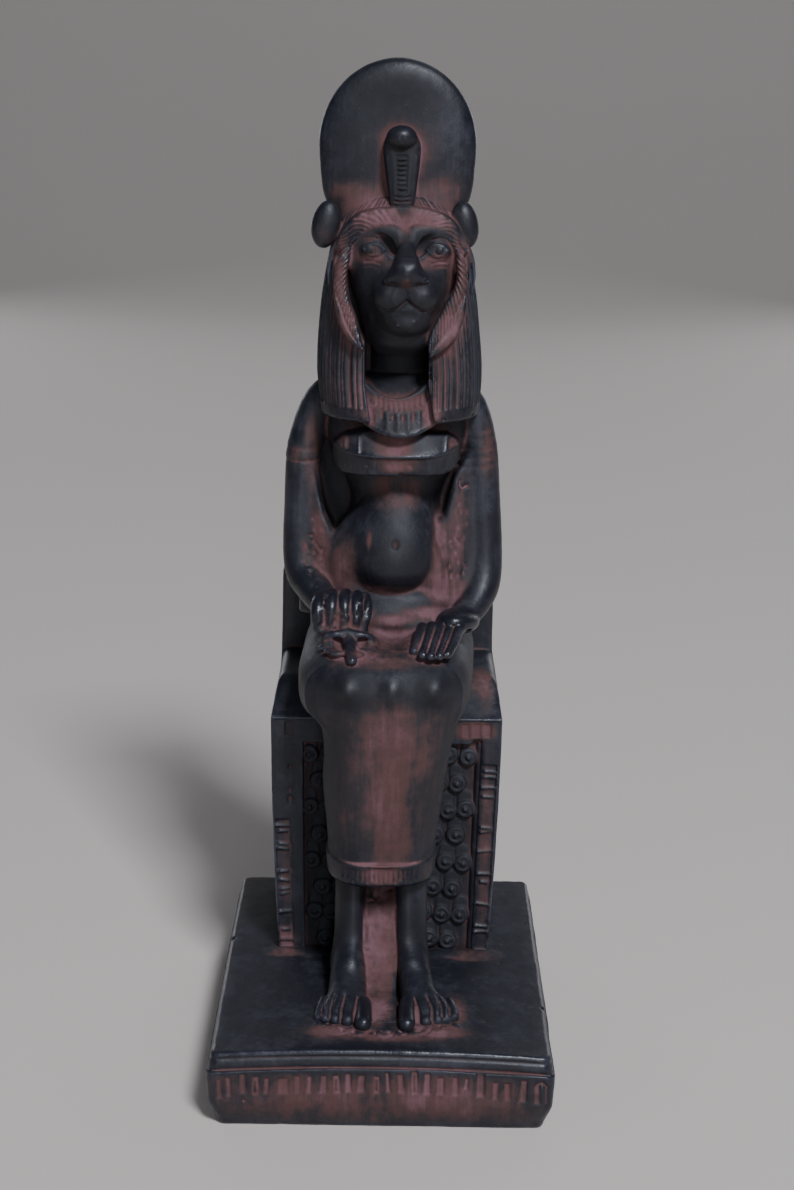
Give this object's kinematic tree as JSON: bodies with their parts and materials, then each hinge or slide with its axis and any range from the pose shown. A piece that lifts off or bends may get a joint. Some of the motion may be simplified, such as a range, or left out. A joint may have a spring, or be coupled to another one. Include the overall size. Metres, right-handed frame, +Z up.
{
  "type": "sekhmet statue",
  "caption": "Seated lioness-headed goddess with a sun disc and cobra, on a block throne and plinth: a small black cast-stone statuette.",
  "frame": {"origin": "middle of the plinth's underside", "axes": "+Z up, -Y is the front that the figure faces, +X to the viewer's right"},
  "size_m": [0.0808, 0.102, 0.24],
  "materials": {
    "cast_stone": "satin black cast stone with dull red-brown patina left in the recesses"
  },
  "bodies": {
    "root": {"statue": "cast_stone"}
  },
  "joints": []
}
